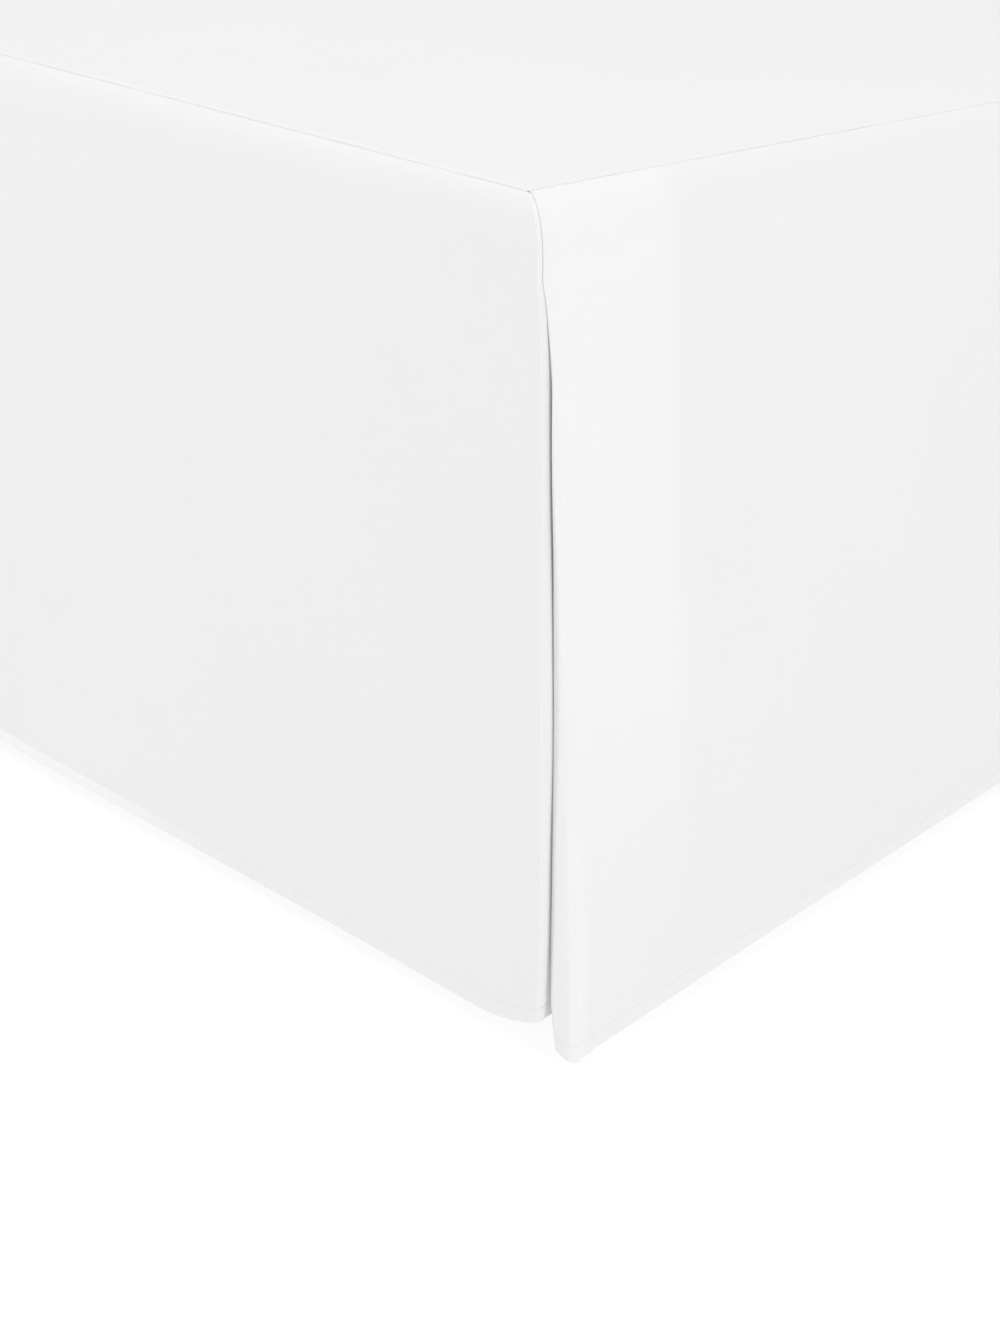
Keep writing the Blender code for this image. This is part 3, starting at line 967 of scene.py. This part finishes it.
# The lights: name, place, the point that each faces, width and power
LIGHTS = (
    ("Key light", (3.35, -1.2, 1.5), (0.79, -0.95, 0.2), 0.5, 17.4),
    ("Left light", (-0.45, -3.5, 1.4), (0.75, -1.0, 0.2), 0.8, 16),
    ("Top light", (0.0, 0.0, 5.0), (0.0, 0.0, 0.0), 5.0, 103),
)


def add_camera():
    """The camera at the photo's place and angle, tilted a little."""
    data = bpy.data.cameras.new("Camera")
    data.sensor_width = SENSOR
    data.lens = FOCAL_PIXELS / max(PHOTO_SIDES) * SENSOR
    data.clip_start = NEAREST
    camera = bpy.data.objects.new("Camera", data)
    bpy.context.scene.collection.objects.link(camera)
    level = Vector((*LOOKING, 0)).normalized()
    forward = level * math.cos(PITCH) - Vector((0, 0, 1)) * math.sin(PITCH)
    right = level.cross(Vector((0, 0, 1)))
    up = right.cross(forward)
    tilted_right = right * math.cos(ROLL) + up * math.sin(ROLL)
    tilted_up = up * math.cos(ROLL) - right * math.sin(ROLL)
    turn = Matrix((tilted_right, tilted_up, -forward)).transposed()
    camera.matrix_world = Matrix.Translation(EYE) @ turn.to_4x4()
    bpy.context.scene.camera = camera


def add_floor():
    shape = bmesh.new()
    bmesh.ops.create_grid(shape, x_segments=8, y_segments=8, size=FLOOR_SIZE)
    floor = object_from(shape, "floor", floor_material())


def add_light(name, place, target, size, power):
    data = bpy.data.lights.new(name, "AREA")
    data.shape = "DISK"
    data.size = size
    data.energy = power
    light = bpy.data.objects.new(name, data)
    bpy.context.scene.collection.objects.link(light)
    light.location = place
    light.rotation_euler = (Vector(target) - Vector(place)).to_track_quat("-Z", "Y").to_euler()


def add_studio():
    world = bpy.data.worlds.new("Studio")
    bpy.context.scene.world = world
    world.use_nodes = True
    sky = world.node_tree.nodes["Background"]
    sky.inputs["Color"].default_value = (1, 1, 1, 1)
    sky.inputs["Strength"].default_value = SKY_STRENGTH
    for light in LIGHTS:
        add_light(*light)
    bpy.context.scene.view_settings.view_transform = "Standard"


def main():
    cloth = cloth_material()
    thread = thread_material()
    add_camera()
    deck(cloth, thread)
    foot_drop(cloth, thread)
    side_drop("right", 1, RIGHT_FOLDS, 5.0, cloth, thread)
    side_drop("left", -1, LEFT_FOLDS, 9.0, cloth, thread)
    base_cover(base_material())
    dress_legs(wood_material())
    add_floor()
    add_studio()


main()
